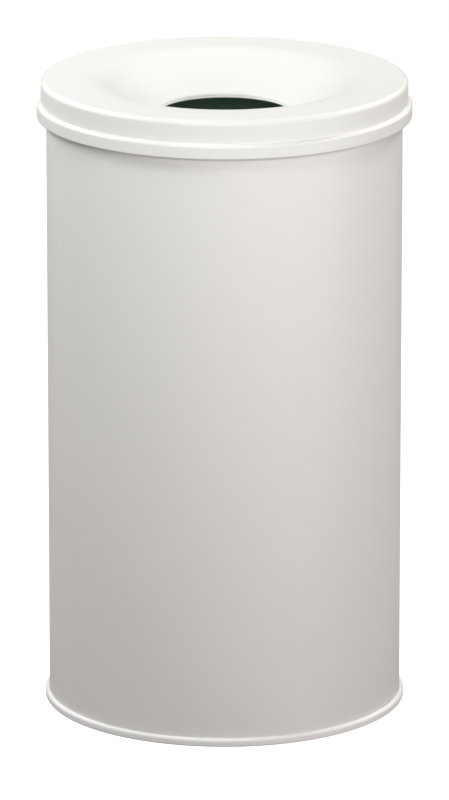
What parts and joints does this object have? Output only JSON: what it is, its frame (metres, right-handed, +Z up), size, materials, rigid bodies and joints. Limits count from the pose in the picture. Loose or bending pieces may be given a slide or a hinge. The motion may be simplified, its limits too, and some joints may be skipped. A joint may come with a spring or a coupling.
{
  "type": "self-extinguishing waste can",
  "caption": "Tall round steel waste can with a loose flame-smothering lid, dished to a central round throat, and a plastic floor ring.",
  "frame": {"origin": "centre of the floor ring's underside, on the floor", "axes": "+Z up along the can's axis; the side seam is at the back, towards +Y"},
  "size_m": [0.3864, 0.3864, 0.662],
  "materials": {
    "body_coat": "off-white powder coat, satin; green lacquer inside",
    "rim_steel": "bright drawn wire, hidden in the rim roll",
    "inside_coat": "mid green lacquer, semi-matt; looks dark in shade",
    "ring_plastic": "moulded white polypropylene, semi-matt",
    "lid_coat": "white powder coat, satin"
  },
  "bodies": {
    "can": {"body_shell": "body_coat", "rim_wire": "rim_steel", "bottom_plate": "inside_coat", "base_ring": "ring_plastic"},
    "lid": {"lid_head": "lid_coat"}
  },
  "joints": [
    {"name": "lid_lift", "type": "slide", "parent": "can", "child": "lid", "axis": [0, 0, 1], "range_m": [0, 0.03]}
  ]
}
